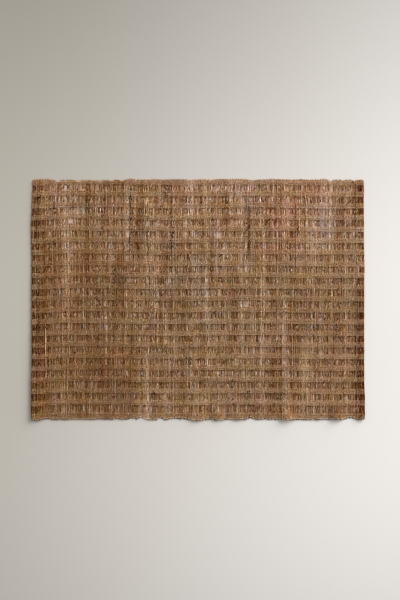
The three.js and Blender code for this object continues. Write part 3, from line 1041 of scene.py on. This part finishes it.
def make_stitches(material):
    """One row of stitches along each hem."""
    parts = []
    for line in STITCH_LINES:
        middle = np.arange(-STITCH_END, STITCH_END, STITCH_PITCH)[:, None]
        middle = middle + rng.normal(0, STITCH_SHIFT, middle.shape)
        y = middle + STITCH_LENGTH * STITCH_RINGS * rng.uniform(*STITCH_UNEVEN, middle.shape)
        across = line + rng.normal(0, STITCH_ASIDE, y.shape)
        green = rng.normal(*STITCH_GREEN, middle.shape)
        points, normals = placed(across, y, over_weave(line, y) + STITCH_RISE)
        parts.append((points, normals, STITCH_HALF, STITCH_HALF, 0, tints(green, 0, STITCH_YELLOWER)))
    return swept("hem_stitches", parts, THREAD_SECTION, material)


# How far inside the edges of its band the first and the last thread lie
FIRST_INSET = 0.55 * MM
LAST_INSET = 1.65 * MM
FRONT_INSET = 1.8 * MM  # of the first thread at the selvage at -Y
BACK_INSET = 0.3 * MM  # of the last thread at the selvage at +Y
FEWEST_THREADS = 4
THREAD_DRIFT = 0.1 * MM
THREAD_ASIDE = 0.06 * MM
THREAD_WIDER = 1.15  # than high
SWING_UNEVEN = (0.9, 1.1)
THREAD_UNEVEN = (0.85, 1.15)
CROSSING_UNEVEN = (0.93, 1.07)
# How much the value changes with the column of strips, the crossing, the thread and along the thread
THREAD_COLUMN, THREAD_CROSSING, THREAD_OWN, THREAD_ALONG = 6, 10, 8, 6
PATCH_IN_THREADS = 1.3  # how much more the light and dark patches show on the threads
THREAD_REDDER, THREAD_YELLOWER = 1, 4
BACK_THREAD_DARKER = 12  # of the thread along the edge of a band at +Y, which catches more light
OUTER_THREAD_LIGHTER = 14  # of the last thread at the selvage at +Y
FRONT_THREAD_PAINTED_LIGHT = 50  # painted light on the shaded side of the first thread at the selvage at -Y


def make_threads(name, bands, strip_s, material):
    """The fine threads of some bands, each over and under the strips in turn."""
    parts = []
    x = fold(strip_s)[0]
    for band in bands:
        low, high = band_lines(x, band)
        low = low + (FRONT_INSET if band == BAND_COUNT - 1 else FIRST_INSET)
        high = high - (BACK_INSET if band == 0 else LAST_INSET)
        count = max(FEWEST_THREADS, round(float(np.median(high - low)) / THREAD_PITCH) + 1)
        each = (count, 1)
        y = low + np.linspace(0, 1, count)[:, None] * (high - low)
        y = y + soft_field(30, 1)(x, y) * THREAD_DRIFT + rng.normal(0, THREAD_ASIDE, y.shape)
        over = np.where((np.arange(count)[:, None] + np.arange(len(strip_s))) % 2 == 0, 1, -1)
        swing = THREAD_SWING * rng.uniform(*SWING_UNEVEN, y.shape)
        points, normals = placed(strip_s, y, over * swing)
        thick = THREAD_RADIUS * rng.uniform(*THREAD_UNEVEN, each) * rng.uniform(*CROSSING_UNEVEN, y.shape)

        light, red, yellow = patch_tones(x, y)
        change = THREAD_COLUMN * COLUMN_TONE(x, y) + THREAD_CROSSING * rng.normal(0, 1, y.shape)
        # with painted light towards the selvage at +Y
        green = THREAD_GREEN + PATCH_IN_THREADS * light + BAND_PAINTED_LIGHT_Y * y / BACK_LINE
        green = green + change * liveliness(x, y)[1]
        green = green + THREAD_OWN * rng.normal(0, 1, each)
        green = green + THREAD_ALONG * soft_field(24, 1)(x, y) - hem_tone_and_shade(x)[1]
        green[-1] += OUTER_THREAD_LIGHTER if band == 0 else -BACK_THREAD_DARKER
        # Painted light on the shaded side of the first thread at -Y
        if band == BAND_COUNT - 1:
            green[0] += FRONT_THREAD_PAINTED_LIGHT
        redder, yellower = hues(x, y)
        red = HUE_IN_BANDS * red + redder + THREAD_REDDER
        yellow = HUE_IN_BANDS * yellow + yellower + THREAD_YELLOWER
        parts.append((points, normals, thick * THREAD_WIDER, thick, 0, tints(green, red, yellow)))
    return swept(name, parts, THREAD_SECTION, material)


# The scene round the mat
PICTURE_WIDTH = 400
PICTURE_HEIGHT = 600
PIXEL = 1.5 * MM  # how much of the table one pixel of the picture shows
MAT_CENTRE_PIXEL = (198.02, 299.95)
CAMERA_HEIGHT = 2.6
SENSOR = 36.0
FURTHEST_SEEN = 20  # metres
FILTER_WIDTH = 1.15

MIX_FIRST, MIX_SECOND, MIX_RESULT = 6, 7, 2  # a mix node's sockets for colours
FLOOR_REACH = 6.0
FLOOR_SHADER = {"Roughness": 0.9, "Specular IOR Level": 0.2}
# The table's tone is painted light and shade: paler towards +X and -Y, darker far from its middle
FLOOR_SLOPE = (1.0, -0.3, 0)  # the way in which the table grows paler
FLOOR_SLOPE_RANGE = (-0.45, 0.45)
FLOOR_DARK = (0.57, 0.54, 0.475, 1)
FLOOR_PALE = (0.975, 0.95, 0.94, 1)
FLOOR_MIDDLE = -0.1  # the y at which it is palest
FLOOR_SHADE_RANGE = (0.1, 0.9)  # how far from there it grows darker
FLOOR_FAR_SHADE = 0.52  # how much is left of its tone far from there

LAMP_PLACE = (2.9, 2.35, 1.7)
LAMP_POWER = 228
LAMP_SIZE = 3.6
LAMP_COLOUR = (1.0, 0.98, 0.95)
ROOM_COLOUR = (1.0, 0.99, 0.97, 1)
ROOM_STRENGTH = 0.43


def make_camera():
    """The camera straight above the mat, and how its picture is made."""
    data = bpy.data.cameras.new("camera")
    data.sensor_width = SENSOR
    data.lens = SENSOR * CAMERA_HEIGHT / (PICTURE_HEIGHT * PIXEL)
    data.clip_end = FURTHEST_SEEN
    camera = new_object("camera", data)
    camera.location = (
        (PICTURE_WIDTH / 2 - MAT_CENTRE_PIXEL[0]) * PIXEL,
        (MAT_CENTRE_PIXEL[1] - PICTURE_HEIGHT / 2) * PIXEL,
        CAMERA_HEIGHT,
    )
    bpy.context.scene.camera = camera
    bpy.context.scene.view_settings.view_transform = "Standard"
    bpy.context.scene.cycles.filter_width = FILTER_WIDTH


def floor_material():
    """A pale table with painted light and shade, darker to one side and far from its middle."""
    material, tree, shader = new_material("pale_table")
    place = node(tree, "TexCoord", {}, "Object")
    painted_light_slope = node(tree, "VectorMath", {0: place, 1: FLOOR_SLOPE}, "Value", operation="DOT_PRODUCT")
    share = map_range(tree, painted_light_slope, FLOOR_SLOPE_RANGE, (0, 1), "SMOOTHSTEP")
    tones = {"Factor": share, MIX_FIRST: FLOOR_DARK, MIX_SECOND: FLOOR_PALE}
    tone = node(tree, "Mix", tones, MIX_RESULT, data_type="RGBA")
    y = node(tree, "SeparateXYZ", {"Vector": place}, "Y")
    from_middle = node(tree, "Math", {0: y, 1: FLOOR_MIDDLE}, "Value", operation="SUBTRACT")
    distance = node(tree, "Math", {0: from_middle}, "Value", operation="ABSOLUTE")
    shade = map_range(tree, distance, FLOOR_SHADE_RANGE, (1, FLOOR_FAR_SHADE), "SMOOTHSTEP")
    shaded = node(tree, "VectorMath", {0: tone, "Scale": shade}, "Vector", operation="SCALE")
    fill(tree, shader, {"Base Color": shaded, **FLOOR_SHADER})
    return material


def make_floor():
    mesh = bpy.data.meshes.new("table_top")
    corners = [(x * FLOOR_REACH, y * FLOOR_REACH, 0) for x, y in ((-1, -1), (1, -1), (1, 1), (-1, 1))]
    mesh.from_pydata(corners, [], [(0, 1, 2, 3)])
    mesh.materials.append(floor_material())
    floor = new_object("table_top", mesh)
    return floor


def make_light():
    """One soft lamp and the pale light of a room."""
    data = bpy.data.lights.new("key", "AREA")
    data.energy = LAMP_POWER
    data.size = LAMP_SIZE
    data.color = LAMP_COLOUR
    lamp = new_object("key", data)
    lamp.location = LAMP_PLACE
    lamp.rotation_euler = (-Vector(LAMP_PLACE)).to_track_quat("-Z", "Y").to_euler()
    world = bpy.data.worlds.new("room")
    world.use_nodes = True
    tree = world.node_tree
    fill(tree, tree.nodes["Background"], {"Color": ROOM_COLOUR, "Strength": ROOM_STRENGTH})
    bpy.context.scene.world = world


make_camera()
floor = make_floor()
make_light()

strip_material = fibre_material("ramie_strip", (1500, 60, 900), streak=0.2, speckle=0.42, depth=0.15 * MM)
thread_material = fibre_material("band_thread", (500, 1800, 1500), streak=0.12, speckle=0.42, depth=0.12 * MM)
strips, strip_s = make_strips(strip_material)
half_way = BAND_COUNT // 2
pieces = [
    strips,
    make_fibres("under_fibres", FIBRE_GROUPS[:1], strip_material),
    make_fibres("loose_fibres", FIBRE_GROUPS[1:], strip_material),
    make_short_fibres(strip_material),
    make_stitches(thread_material),
    make_strands(strip_material),
    make_hairs(strip_material),
    make_threads("band_threads_back", range(0, half_way), strip_s, thread_material),
    make_threads("band_threads_front", range(half_way, BAND_COUNT), strip_s, thread_material),
]
for piece in pieces:
    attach(piece, "root")
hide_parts("mat")
